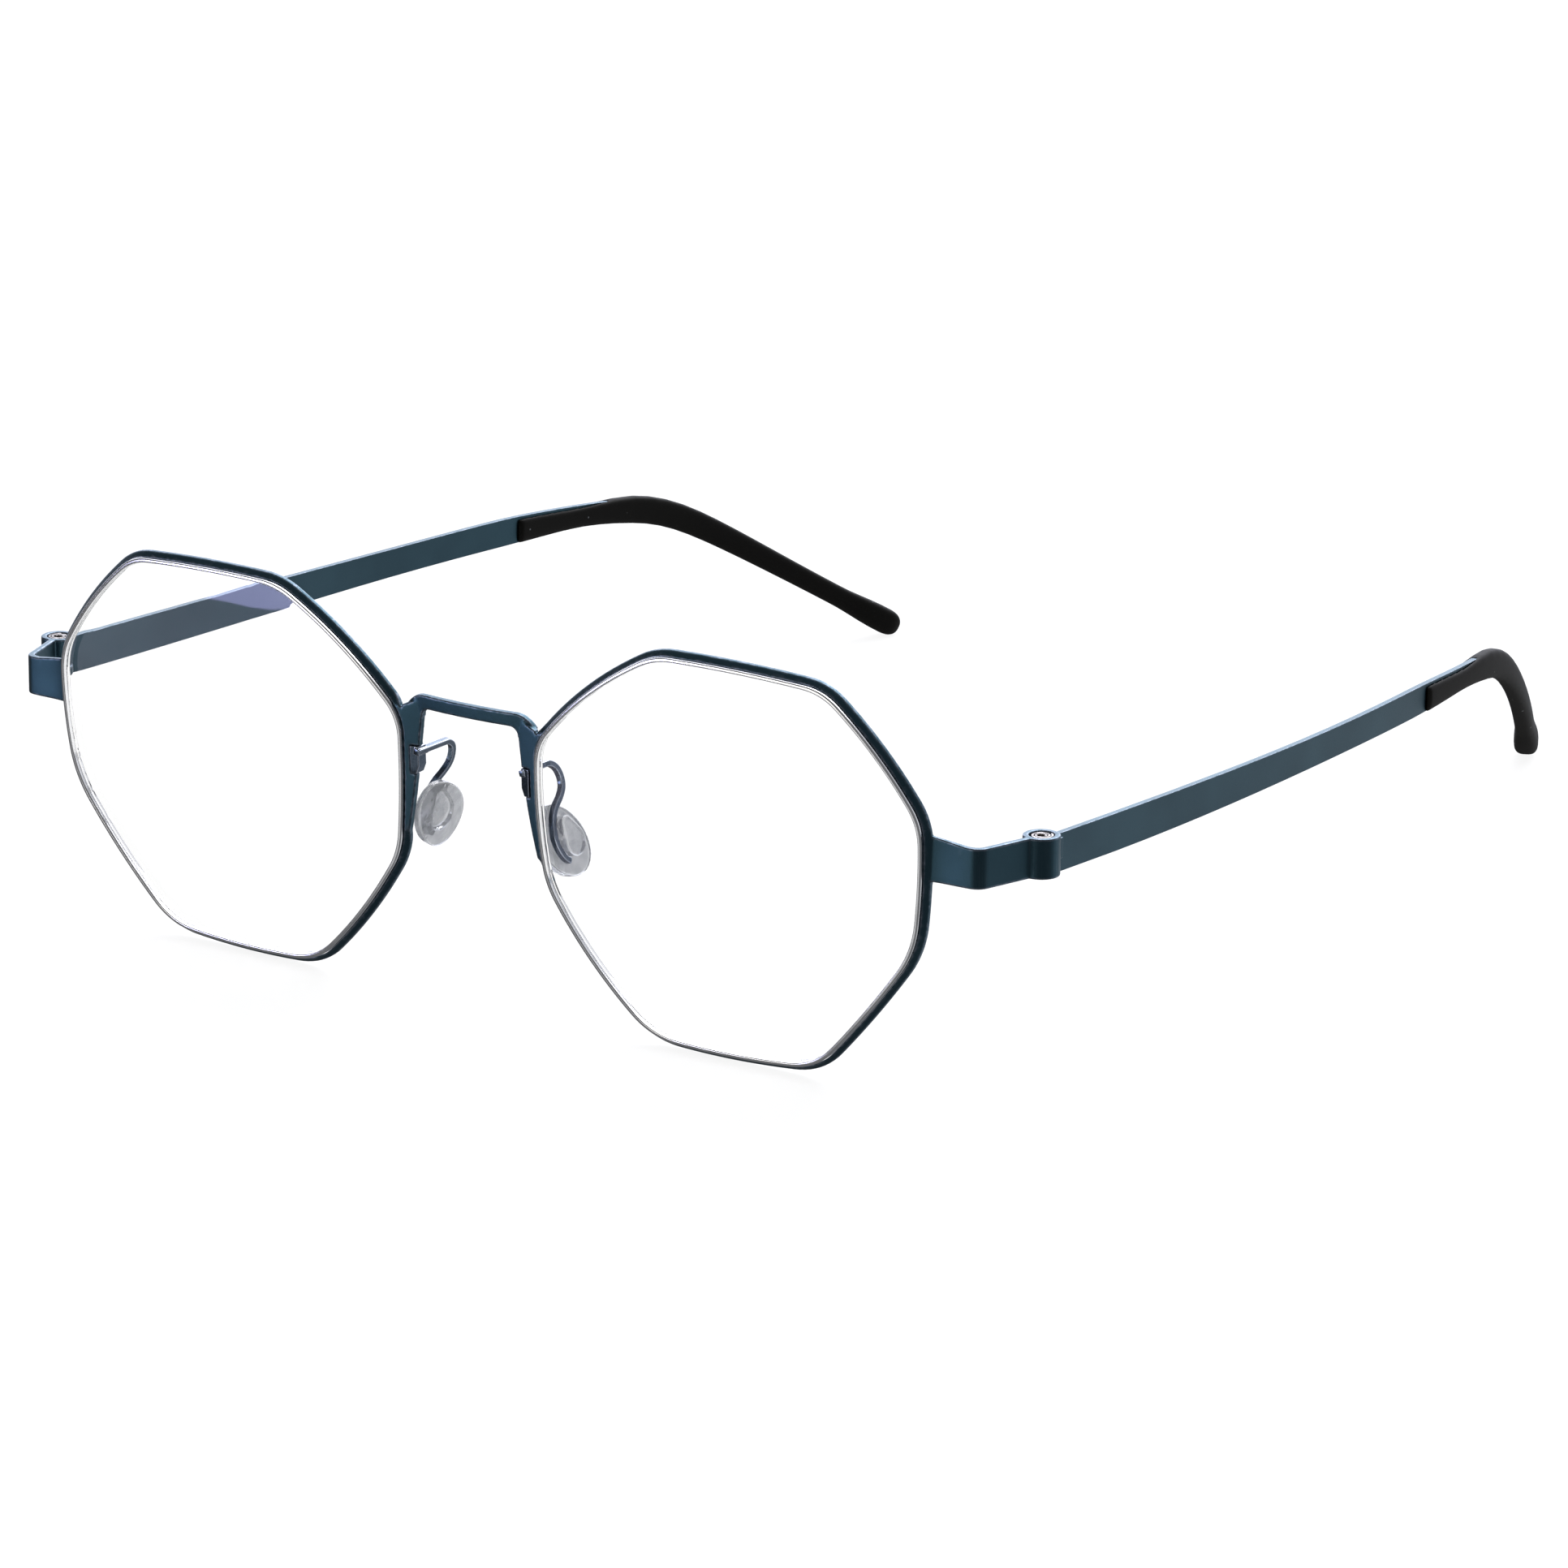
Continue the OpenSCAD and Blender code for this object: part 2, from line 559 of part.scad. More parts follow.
module end_plan() {
    c = fold_centre();
    root_x = lens_x + rim_edge - sheet_w * 1.6;
    root = [root_x, root_at[1] - tan(end_sweep) * (root_at[0] - root_x)];
    d1 = [cos(end_sweep), sin(end_sweep)];
    n1 = [-d1[1], d1[0]];
    n2 = [-cos(end_flare), sin(end_flare)];
    reach = barrel_back - barrel_r + barrel_wall / 2;
    foot = [fold_at[0] + reach * tan(end_flare), fold_at[1] + reach];
    arc_from = end_sweep - 90;
    arc_to = -end_flare;
    outer = [for (a = steps(arc_from, arc_to, 8)) c + fold_r * [cos(a), sin(a)]];
    inner = [for (a = steps(arc_to, arc_from, 8)) c + (fold_r - sheet_t) * [cos(a), sin(a)]];
    polygon(concat([root], outer, [foot, foot + n2 * sheet_t], inner, [root + n1 * sheet_t]));
}

module end_piece() {
    root_x = root_at[0];
    root_top = end_low + end_root_h;
    far = root_x + 3 * end_reach;
    difference() {
        union() {
            intersection() {
                translate([0, 0, end_low - cut_over]) linear_extrude(end_h + 2 * cut_over) end_plan();
                through_y() polygon([
                    [root_x - cut_over, root_top],
                    [root_x, root_top],
                    [root_x + end_reach * root_taper, end_top],
                    [far, end_top],
                    [far, end_low],
                    [root_x - cut_over, end_low]
                ]);
            }
            translate([hinge_x, hinge_y, end_low]) cylinder(h = end_h, r = barrel_r);
        }
        translate([hinge_x, hinge_y, end_low - cut_over]) cylinder(h = end_h + 2 * cut_over, r = bore_r);
        translate([hinge_x, hinge_y, window_low]) linear_extrude(window_top - window_low) window_plan();
    }
}

// Wedge of the barrel that is cut away, so that the neck can swing from open to folded
module window_plan() {
    from = neck_side - window_margin;
    to = 90 + fold_first + window_margin;
    far = barrel_od;
    polygon(concat([[0, 0]], [for (a = steps(from, to, 4)) far * [cos(a), sin(a)]]));
}

module front_frame() {
    color([0.2, 0.28, 0.34]) union() {
        bridge();
        for (side = [1, -1]) on_side(side) difference() {
            union() {
                at_lens() band(0, sheet_w, 0, sheet_t);
                at_lens() difference() {
                    nose_flange();
                    clip_notch(fit_gap);
                }
                end_piece();
            }
            at_lens() through_y() polygon(outline(sheet_w));
        }
    }
}

// Closed ring round the lens, proud of the sheet, with a groove inside for the lens's edge
module inner_rim() {
    outer = sheet_w + fit_gap;
    color([0.8, 0.8, 0.8]) at_lens() difference() {
        union() {
            band(outer, rim_inset, rim_break - rim_proud, rim_back - rim_break);
            band(outer + rim_break, rim_inset - rim_break, -rim_proud, rim_back);
        }
        band(rim_inset - groove_d, rim_inset + cut_over, groove_mid - groove_w / 2, groove_mid + groove_w / 2);
    }
}

module lens() {
    tongue = groove_w / 2 - fit_gap;
    color([0.93, 0.97, 0.98, 0.35]) at_lens() intersection() {
        union() {
            through_y() polygon(outline(rim_inset + fit_gap));
            intersection() {
                through_y() polygon(outline(rim_inset - groove_d + fit_gap));
                dish(groove_mid - tongue, groove_mid + tongue);
            }
        }
        dish(lens_depth, lens_depth + lens_t);
    }
}

// Clip in the front's nose edge, and the arm cut from flat sheet that bends down to the pad
module pad_arm() {
    line = curve(ARM_PATH);
    tip = clip_edge - clip_out;
    color([0.28, 0.34, 0.42]) union() {
        at_lens() intersection() {
            through_y() polygon([
                [clip_edge + clip_in, clip_low],
                [clip_edge + clip_in, clip_low + clip_h],
                [tip, clip_low + clip_h],
                [tip, clip_low + clip_slant[1]],
                [tip + clip_slant[0], clip_low]
            ]);
            dish(-clip_front, sheet_t + clip_rear);
        }
        on_arm() linear_extrude(arm_t, center = true)
            polygon(concat(edge_of(line, arm_w / 2), [for (i = [len(line) - 1:-1:0]) edge_of(line, -arm_w / 2)[i]]));
    }
}

// Plane of the arm's sheet: x back, y up along the sheet, z away from the nose
module on_arm() {
    translate(arm_origin) rotate([0, -pad_lean, 0]) rotate([0, 0, 90]) rotate([90, 0, 0])
        children();
}

module pad_outline(grow) {
    rotate(pad_turn) scale([(pad_w / 2 + grow) / 10, (pad_len / 2 + grow) / 10]) circle(10);
}

module boss_plan() {
    translate(boss_at) rotate(boss_turn) hull() {
        circle(d = boss_w, $fn = 32);
        translate([0, boss_len - (boss_w + boss_tip_w) / 2]) circle(d = boss_tip_w, $fn = 32);
    }
}

module nose_pad() {
    lift = arm_t / 2 + boss_side_gap;
    color([0.85, 0.87, 0.9, 0.5]) on_arm() mirror([0, 0, 1]) {
        translate([0, 0, lift]) intersection() {
            translate([pad_at[0], pad_at[1]]) linear_extrude(pad_t) pad_outline(0);
            translate([pad_at[0], pad_at[1], pad_t - pad_dome]) sphere(pad_dome);
        }
        translate([0, 0, lift - boss_t]) linear_extrude(boss_t + pad_t / 10) boss_plan();
    }
}

module strip_plan(grow, from, to) {
    ts = steps(from, to, path_steps);
    half = temple_t / 2 + grow;
    polygon(concat([for (t = ts) plan_edge(t, half)],
        [for (i = [path_steps:-1:0]) plan_edge(ts[i], -half)]));
}

module strip_side(grow, from, to) {
    ts = steps(from, to, path_steps);
    polygon(concat([for (t = ts) side_edge(t, strip_half(t) + grow)],
        [for (i = [path_steps:-1:0]) side_edge(ts[i], -strip_half(ts[i]) - grow)]));
}

// The strip is one outline seen from above and one seen from the side
module strip(grow, from, to) {
    intersection() {
        translate([0, 0, -through]) linear_extrude(3 * through) strip_plan(grow, from, to);
        rotate([90, 0, 90]) linear_extrude(6 * through, center = true) strip_side(grow, from, to);
    }
}

module at_hinge() {
    translate([hinge_x, hinge_y, 0]) children();
}

module temple() {
    color([0.2, 0.28, 0.34]) at_hinge() union() {
        strip(0, strip_start, core_end);
        difference() {
            translate([strip_out, 0, neck_low]) cube([temple_t, strip_start + temple_t, neck_top - neck_low]);
            translate([0, 0, neck_low - cut_over]) cylinder(h = 2 * end_h, r = coil_r + fit_gap);
        }
    }
}

// Sheet rolled up on itself, which turns in the barrel with the temple
module hinge_coil() {
    pitch = coil_sheet + coil_gap;
    turns = (coil_r - coil_sheet - coil_core_r) / pitch;
    count = ceil(turns * coil_steps);
    outer = [for (k = [0:count]) coil_point(k / count * turns, coil_r - turns * pitch, pitch)];
    inner = [for (k = [count:-1:0]) coil_point(k / count * turns, coil_core_r, pitch)];
    color([0.75, 0.74, 0.72]) at_hinge() translate([0, 0, end_low + coil_sink])
        linear_extrude(end_h - 2 * coil_sink) polygon(concat(outer, inner));
}

module temple_tip() {
    ts = concat(
        steps(sleeve_at, sleeve_at + front_break, 2),
        steps(sleeve_at + 4 * front_break, bend_at - bend_round, 6),
        steps(bend_at - 0.6 * bend_round, tip_from - tip_len / 10, 12),
        steps(tip_from + tip_len / 6, ball_at, 4),
        [for (a = [22, 42, 60, 75, 86]) ball_at + tip_h / 2 * sin(a)]
    );
    rings = [for (t = ts) sleeve_ring(t)];
    n = section_sides;
    last = len(rings) - 1;
    color([0.1, 0.1, 0.1]) at_hinge() difference() {
        polyhedron(
            points = [for (r = rings) each r],
            faces = concat(
                [for (i = [0:last - 1]) each [for (k = [0:n - 1])
                    [i * n + k, i * n + (k + 1) % n, (i + 1) * n + (k + 1) % n, (i + 1) * n + k]]],
                [[for (k = [n - 1:-1:0]) k]],
                [[for (k = [0:n - 1]) last * n + k]]
            )
        );
        strip(fit_gap, strip_start, core_end + fit_gap);
    }
}

front_frame();
on_side(1) inner_rim();  // inner_rim_right
on_side(-1) inner_rim();  // inner_rim_left
on_side(1) lens();  // lens_right
on_side(-1) lens();  // lens_left
on_side(1) pad_arm();  // pad_arm_right
on_side(-1) pad_arm();  // pad_arm_left
on_side(1) nose_pad();  // nose_pad_right
on_side(-1) nose_pad();  // nose_pad_left
on_side(1) temple();  // temple_right
on_side(-1) temple();  // temple_left
on_side(1) hinge_coil();  // hinge_coil_right
on_side(-1) hinge_coil();  // hinge_coil_left
on_side(1) temple_tip();  // temple_tip_right
on_side(-1) temple_tip();  // temple_tip_left
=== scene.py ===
# Octagonal sheet-metal eyeglasses, dressed for a studio picture.
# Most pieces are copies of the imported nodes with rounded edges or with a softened, moulded form.
# The silver inner rims are lofted from the lens outline, which also gives the front its ring section.
import math

import bmesh
import bpy
import numpy as np
from mathutils import Matrix, Vector
from mathutils.kdtree import KDTree


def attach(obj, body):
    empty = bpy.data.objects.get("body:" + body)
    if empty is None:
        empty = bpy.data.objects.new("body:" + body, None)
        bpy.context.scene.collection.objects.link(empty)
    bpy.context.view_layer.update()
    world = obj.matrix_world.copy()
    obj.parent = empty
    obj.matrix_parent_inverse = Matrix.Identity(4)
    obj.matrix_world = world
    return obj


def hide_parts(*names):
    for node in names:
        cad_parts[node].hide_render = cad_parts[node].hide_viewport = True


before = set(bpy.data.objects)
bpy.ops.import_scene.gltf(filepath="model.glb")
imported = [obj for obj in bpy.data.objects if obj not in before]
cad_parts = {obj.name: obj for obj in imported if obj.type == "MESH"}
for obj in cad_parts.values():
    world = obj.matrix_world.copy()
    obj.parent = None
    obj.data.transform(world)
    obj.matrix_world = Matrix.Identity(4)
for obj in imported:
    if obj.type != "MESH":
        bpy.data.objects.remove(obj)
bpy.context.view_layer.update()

# Sizes below are in millimetres where nothing else is said, and the scene is in metres
MM = 0.001

SIDES = ("right", "left")
SIGN = {"right": 1, "left": -1}
TEMPLE_BODY = {"right": "right_temple", "left": "left_temple"}

# Camera: place and directions in the frame's own axes, fitted to the photograph
CAMERA_AT = Vector((457.486, -622.656, 259.12)) * MM
CAMERA_RIGHT = Vector((0.8297, 0.55814, 0.00846))
CAMERA_UP = Vector((-0.16803, 0.23527, 0.95729))
CAMERA_LENS = 173.76
CAMERA_SENSOR = 36.0
# Furthest distance that the camera shows, in metres
CAMERA_REACH = 20

# Radius of the rounded edges of pieces that keep their flat faces, and rows of faces in a rounding
SHEET_EDGE = 0.07
ARM_EDGE = 0.1
LENS_EDGE = 0.05
COIL_EDGE = 0.04
EDGE_ROWS = 2
ARM_EDGE_ROWS = 3
MOULD_EDGE_ROWS = 3
# Edges that turn by more than the sharp angle are rounded, and faces within the flat angle are joined
SHARP_ANGLE = math.radians(38)
FLAT_ANGLE = math.radians(0.4)
# Points nearer to each other than this are one
WELD = 0.0008
# How far large faces outweigh small ones in the shading that they share, where 50 is even
SHADING_WEIGHT = 80

# Moulded or tumbled pieces: size of the fine grid that they are rebuilt on, rounds of relaxing,
# share of the faces that is kept and, where there is one, radius of the edges before that
SHEET_MOULD = {"voxel": 0.08, "relax": 14, "keep": 0.25, "bevel": 0.09}
SLEEVE_MOULD = {"voxel": 0.13, "relax": 14, "keep": 0.15}
PAD_MOULD = {"voxel": 0.09, "relax": 12, "keep": 0.4}
RELAX_FACTOR = 0.5
# Turn of the surface, in radians a millimetre, at which rubbed edges and painted edge highlights begin
# and are full
EDGE_TURN = (0.8, 3.0)
SHORTEST_EDGE = 1e-6

# Lens outline as in the model's source: corners from the lens centre, bows of the sides, and how
# much of a side the rounding of each corner takes up
CORNERS = (
    (13.2, 21.7), (-7.8, 22.3), (-24.2, 9.4), (-23.4, -6.8),
    (-10.3, -22.4), (10.9, -22.1), (23.8, -6.5), (25.0, 8.3))
BOWS = (0.4, 1.1, 0.4, 0.825, 0.4, 0.4, 0.4, 0.825)
ROUNDS = (2.2, 2.2, 2.2, 2.2, 3.2, 3.2, 3.2, 2.2)
CORNER_COUNT = len(CORNERS)
SIDE_STEPS = 12
CORNER_STEPS = 10

# Place of the lenses: centre outwards and up, where the front stands on its lowest point, and the
# sphere, tilt and turn that they follow
LENS_OUT = 32.4
LENS_UP = 22.4791
DISH_RADIUS = 165.0
FRONT_TILT = math.radians(4.4)
LENS_TURN = math.radians(1.6)

# Section of the inner rims, as insets from the outline and depths behind the sheet's front
RIM_OUTER = 0.64
RIM_INNER = 1.1
RIM_FRONT = -0.3
RIM_BACK = 0.8
# Inset and depth of the inner corner of the step that the lens seats in
RIM_SEAT = (0.86, 0.44)
RIM_ROUND = 0.15
RIM_ROUND_STEPS = 5
RIM_BACK_ROUND = 0.05
RIM_BACK_STEPS = 2

# Section of the front's ring round each lens: its width, its depth and the power of its rounded oblong
SHEET_WIDTH = 0.6
SHEET_BACK = 0.75
SECTION_POWER = 5
# How far its outer edge lies back at the front and at the back, and where the slope has run out
FACE_SLOPE = 0.55
BACK_REACH = 0.3
SLOPE_END = 6.0
# Steps that the ring is divided into, and steps on both sides that give its direction
RING_STEP = 0.1
TANGENT_STEPS = 4
# A deeper point than this is left as it is, and a farther one isn't measured across the ring
RING_DEPTH = 3 * SHEET_BACK
ACROSS_REACH = 2 * SHEET_WIDTH
# Up to the first distance a point is on the ring, and from there to the second it is sheet beyond it;
# such sheet also counts for its neighbours along the ring, up to the third
ON_RING = 0.75
SPAN_REACH = 1.6
SPAN_FADE = 1.5
# Beside an end piece the rounded section fades from this far across the ring on, over this width
LUG_START = 0.35
LUG_FADE = 0.25

# Paint: light and dark tone of the sheet, its rubbed edges, which are partly a painted highlight, and the
# shade of its grain
PAINT_LIGHT = (0.047, 0.098, 0.128)
PAINT_DARK = (0.038, 0.080, 0.106)
PAINT_EDGE = (0.30, 0.34, 0.42)
PAINT_SHADE = (0.014, 0.036, 0.054)

# Studio: round patches of light as direction, inner and outer angle of the soft edge, and colour
STUDIO = (
    ((-0.2, 0.6, 0.8), 15, 48, (1.1, 1.1, 1.15)),
    ((-0.53, 0.80, 0.30), 12, 46, (2.0, 2.05, 2.35)),
    ((0.45, 0.84, -0.29), 10, 60, (0.52, 0.53, 0.55)),
    ((0.50, 0.80, 0.30), 8, 30, (0.25, 0.26, 0.3)),
    ((-0.34, -0.86, -0.38), 3, 17, (0.5, 0.5, 0.5)),
)
AMBIENT = (0.15, 0.152, 0.158)

# Window wall and the wall next to it: azimuth and elevation, angles of the soft edge, and colour
WALL_AT = (-130, -6)
WALL_CONE = (8, 10)
WALL_COLOUR = (4.0, 4.0, 5.9)
NEXT_WALL_AT = (-116, -2)
NEXT_WALL_CONE = (6, 16)
NEXT_WALL_COLOUR = (1.9, 1.85, 1.7)
# Upward part of the directions in which both walls begin, how sharply, and in which they fade out
WALL_FOOT = -0.2147
WALL_FOOT_FADE = 0.003
WALL_TOP = (0.2, 0.4)

# Overhead panel: place, point that it looks at and side length in metres, power in watts, and colour
OVERHEAD_AT = Vector((0.0, 0.75, 0.9))
OVERHEAD_AIM = Vector((0.0, 0.06, 0.02))
OVERHEAD_SIZE = 0.9
OVERHEAD_POWER = 9.0
OVERHEAD_COLOUR = (0.98, 0.98, 1.0)

# Floor: half its width in metres, and how far it lies under the rims and tips
FLOOR_HALF = 3.0
FLOOR_GAP = 0.02


def new_material(name):
    """A material, its node tree and its shader"""
    material = bpy.data.materials.new(name)
    material.use_nodes = True
    tree = material.node_tree
    shader = tree.nodes["Principled BSDF"]
    return material, tree, shader


def add_node(tree, kind, **settings):
    """A shader node with its attributes and input values set"""
    node = tree.nodes.new(kind)
    for key, value in settings.items():
        if key in node.inputs:
            node.inputs[key].default_value = value
        else:
            setattr(node, key, value)
    return node


def object_coords(tree, stretch=(1.0, 1.0, 1.0)):
    """A piece's own coordinates in millimetres, stretched along chosen axes"""
    coords = add_node(tree, "ShaderNodeTexCoord")
    mapping = add_node(tree, "ShaderNodeMapping")
    mapping.inputs["Scale"].default_value = [s / MM for s in stretch]
    tree.links.new(coords.outputs["Object"], mapping.inputs["Vector"])
    return mapping.outputs["Vector"]


def noise(tree, coords, scale, detail=3.0, rough=0.5):
    """Cloudy noise from zero to one"""
    node = add_node(tree, "ShaderNodeTexNoise", Scale=scale, Detail=detail, Roughness=rough)
    tree.links.new(coords, node.inputs["Vector"])
    return node.outputs["Fac"]


def ramp(tree, value, stops):
    """Colour ramp through stops of (position, colour)"""
    node = add_node(tree, "ShaderNodeValToRGB")
    elements = node.color_ramp.elements
    while len(elements) < len(stops):
        elements.new(0.5)
    for element, (position, colour) in zip(elements, stops):
        element.position = position
        element.color = (*colour, 1.0)
    tree.links.new(value, node.inputs["Fac"])
    return node.outputs["Color"]


def map_range(tree, value, low, high, start=0.0, end=1.0):
    """Turns a value between start and end into one between low and high"""
    node = add_node(tree, "ShaderNodeMapRange")
    node.inputs["From Min"].default_value = start
    node.inputs["From Max"].default_value = end
    node.inputs["To Min"].default_value = low
    node.inputs["To Max"].default_value = high
    tree.links.new(value, node.inputs["Value"])
    return node.outputs["Result"]


def mix_colour(tree, factor, first, second):
    """Mix of two colours, each given as a value or as a node's output"""
    node = add_node(tree, "ShaderNodeMix", data_type="RGBA")
    tree.links.new(factor, node.inputs[0])
    for socket, colour in ((node.inputs[6], first), (node.inputs[7], second)):
        if isinstance(colour, tuple):
            socket.default_value = (*colour, 1.0)
        else:
            tree.links.new(colour, socket)
    return node.outputs[2]


def bump(tree, height, shader, distance, strength):
    """Relief on a shader's surface, with its distance in millimetres"""
    node = add_node(tree, "ShaderNodeBump", Strength=strength, Distance=distance * MM)
    tree.links.new(height, node.inputs["Height"])
    tree.links.new(node.outputs["Normal"], shader.inputs["Normal"])


def edge_mask(tree):
    """One on rounded edges and zero on flat faces"""
    return add_node(tree, "ShaderNodeAttribute", attribute_name="rounded").outputs["Fac"]


def painted_metal(name):
    """Anodised sheet: fine blasted grain, slow change of tone, and edges rubbed a little brighter that
    are partly a painted highlight
    """
    material, tree, shader = new_material(name)
    coords = object_coords(tree)
    slow = noise(tree, coords, scale=0.09, detail=2.0)
    grain = noise(tree, coords, scale=9.0, detail=4.0, rough=0.6)
    rub = noise(tree, coords, scale=1.3, detail=3.0)
    tone = ramp(tree, slow, ((0.35, PAINT_DARK), (0.65, PAINT_LIGHT)))
    speck = map_range(tree, grain, low=0.0, high=0.3, start=0.55, end=0.75)
    tone = mix_colour(tree, speck, tone, PAINT_SHADE)
    # Rounded edges, in random patches, are coloured light grey-lilac: partly rubbed edges, partly a
    # painted highlight along them
    wear_and_highlight = add_node(tree, "ShaderNodeMath", operation="MULTIPLY")
    tree.links.new(edge_mask(tree), wear_and_highlight.inputs[0])
    tree.links.new(map_range(tree, rub, low=0.15, high=0.75, start=0.35, end=0.7), wear_and_highlight.inputs[1])
    tone = mix_colour(tree, wear_and_highlight.outputs["Value"], tone, PAINT_EDGE)
    tree.links.new(tone, shader.inputs["Base Color"])
    tree.links.new(map_range(tree, grain, low=0.34, high=0.46), shader.inputs["Roughness"])
    shader.inputs["Metallic"].default_value = 1.0
    bump(tree, grain, shader, distance=0.012, strength=0.5)
    return material


def silver_metal():
    """Polished rim wire with a fine grain"""
    material, tree, shader = new_material("rim_silver")
    coords = object_coords(tree)
    blotch = noise(tree, coords, scale=0.5, detail=3.0)
    grain = noise(tree, coords, scale=12.0, detail=3.0, rough=0.6)
    tone = ramp(tree, blotch, ((0.3, (0.80, 0.80, 0.81)), (0.7, (0.92, 0.92, 0.93))))
    tree.links.new(tone, shader.inputs["Base Color"])
    tree.links.new(map_range(tree, grain, low=0.1, high=0.22), shader.inputs["Roughness"])
    shader.inputs["Metallic"].default_value = 1.0
    bump(tree, grain, shader, distance=0.004, strength=0.4)
    return material


def arm_metal():
    """Dark polished steel, with a painted highlight in light grey-blue on its rounded edges"""
    material, tree, shader = new_material("arm_gunmetal")
    coords = object_coords(tree)
    grain = noise(tree, coords, scale=6.0, detail=4.0, rough=0.6)
    tone = ramp(tree, grain, ((0.35, (0.05, 0.07, 0.095)), (0.7, (0.11, 0.14, 0.185))))
    # Painted highlight: every rounded edge is coloured light grey-blue
    tone = mix_colour(tree, edge_mask(tree), tone, (0.42, 0.46, 0.54))
    tree.links.new(tone, shader.inputs["Base Color"])
    tree.links.new(map_range(tree, grain, low=0.1, high=0.22), shader.inputs["Roughness"])
    shader.inputs["Metallic"].default_value = 1.0
    bump(tree, grain, shader, distance=0.006, strength=0.5)
    return material


def coil_metal():
    """Bare rolled sheet, scratched, stained and slightly warm"""
    material, tree, shader = new_material("coil_bare_steel")
    scratch = noise(tree, object_coords(tree, (5.0, 1.0, 1.0)), scale=3.0, detail=4.0, rough=0.7)
    blotch = noise(tree, object_coords(tree), scale=2.2, detail=3.0)
    tone = ramp(tree, blotch, (
        (0.35, (0.07, 0.06, 0.055)),
        (0.5, (0.22, 0.2, 0.185)),
        (0.7, (0.55, 0.53, 0.51))))
    tree.links.new(tone, shader.inputs["Base Color"])
    tree.links.new(map_range(tree, scratch, low=0.18, high=0.4), shader.inputs["Roughness"])
    shader.inputs["Metallic"].default_value = 1.0
    bump(tree, scratch, shader, distance=0.03, strength=0.8)
    return material


def sleeve_plastic():
    """Matte black sleeve with a fine moulded skin and a few grains of dust"""
    material, tree, shader = new_material("sleeve_black")
    coords = object_coords(tree)
    skin = noise(tree, coords, scale=7.0, detail=4.0, rough=0.65)
    cells = add_node(tree, "ShaderNodeTexVoronoi", Scale=0.42, Randomness=1.0)
    tree.links.new(coords, cells.inputs["Vector"])
    dust = map_range(tree, cells.outputs["Distance"], low=1.0, high=0.0, start=0.045, end=0.06)
    tone = ramp(tree, skin, ((0.3, (0.0038, 0.0036, 0.0032)), (0.7, (0.0062, 0.0059, 0.0052))))
    tone = mix_colour(tree, dust, tone, (0.12, 0.13, 0.14))
    tree.links.new(tone, shader.inputs["Base Color"])
    tree.links.new(map_range(tree, skin, low=0.48, high=0.62), shader.inputs["Roughness"])
    shader.inputs["Specular IOR Level"].default_value = 0.08
    bump(tree, skin, shader, distance=0.01, strength=0.6)
    return material


def lens_glass():
    """Clear plastic lens with a faint violet coating"""
    material, tree, shader = new_material("lens_clear")
    coords = object_coords(tree)
    film = noise(tree, coords, scale=0.05, detail=2.0)
    tone = ramp(tree, film, ((0.3, (0.985, 0.99, 0.995)), (0.7, (0.995, 0.995, 1.0))))
    tree.links.new(tone, shader.inputs["Base Color"])
    tree.links.new(map_range(tree, film, low=0.0, high=0.012), shader.inputs["Roughness"])
    shader.inputs["IOR"].default_value = 1.5
    shader.inputs["Transmission Weight"].default_value = 1.0
    shader.inputs["Specular IOR Level"].default_value = 0.5
    shader.inputs["Specular Tint"].default_value = (0.72, 0.72, 1.0, 1.0)
    return material


def pad_silicone():
    """Clear silicone with soft unevenness, as it comes out of its mould, and a painted near-white
    highlight on its rounded edges
    """
    material, tree, shader = new_material("pad_silicone")
    coords = object_coords(tree)
    ripple = noise(tree, coords, scale=0.9, detail=2.0)
    tone = ramp(tree, ripple, ((0.3, (0.38, 0.395, 0.42)), (0.7, (0.58, 0.59, 0.61))))
    # Painted highlight: the rounded edges are coloured near white
    tone = mix_colour(tree, edge_mask(tree), tone, (0.92, 0.93, 0.94))
    tree.links.new(tone, shader.inputs["Base Color"])
    tree.links.new(map_range(tree, ripple, low=0.01, high=0.06), shader.inputs["Roughness"])
    shader.inputs["IOR"].default_value = 1.41
    shader.inputs["Transmission Weight"].default_value = 0.72
    bump(tree, ripple, shader, distance=0.12, strength=0.6)
    return material


def floor_paper():
    """White paper that glows by itself, so that it takes hardly any shadow"""
    material, tree, shader = new_material("floor_paper")
    coords = object_coords(tree)
    cloud = noise(tree, coords, scale=0.02, detail=3.0)
    tone = ramp(tree, cloud, ((0.3, (0.15, 0.15, 0.15)), (0.7, (0.16, 0.16, 0.16))))
    tree.links.new(tone, shader.inputs["Base Color"])
    shader.inputs["Roughness"].default_value = 0.9
    shader.inputs["Specular IOR Level"].default_value = 0.1
    shader.inputs["Emission Color"].default_value = (1.0, 1.0, 1.0, 1.0)
    shader.inputs["Emission Strength"].default_value = 0.9
    return material


def dress(piece, node, body, material):
    """Finish, place and body of a piece that stands for a node"""
    piece.data.materials.clear()
    piece.data.materials.append(material)
    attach(piece, body)
    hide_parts(node)


def link_mesh(name, mesh):
    """An object of the scene that shows a mesh"""
    piece = bpy.data.objects.new(name, mesh)
    bpy.context.scene.collection.objects.link(piece)
    return piece


def working_copy(node):
    """The node's mesh in millimetres, with points that coincide welded"""
    bm = bmesh.new()
    bm.from_mesh(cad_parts[node].data)
    bmesh.ops.scale(bm, vec=(1 / MM,) * 3, verts=bm.verts)
    bmesh.ops.remove_doubles(bm, verts=bm.verts, dist=WELD)
    return bm


def finish_mesh(bm, name):
    """Turns a working copy into a mesh and frees it"""
    mesh = bpy.data.meshes.new(name)
    bm.to_mesh(mesh)
    bm.free()
    return mesh


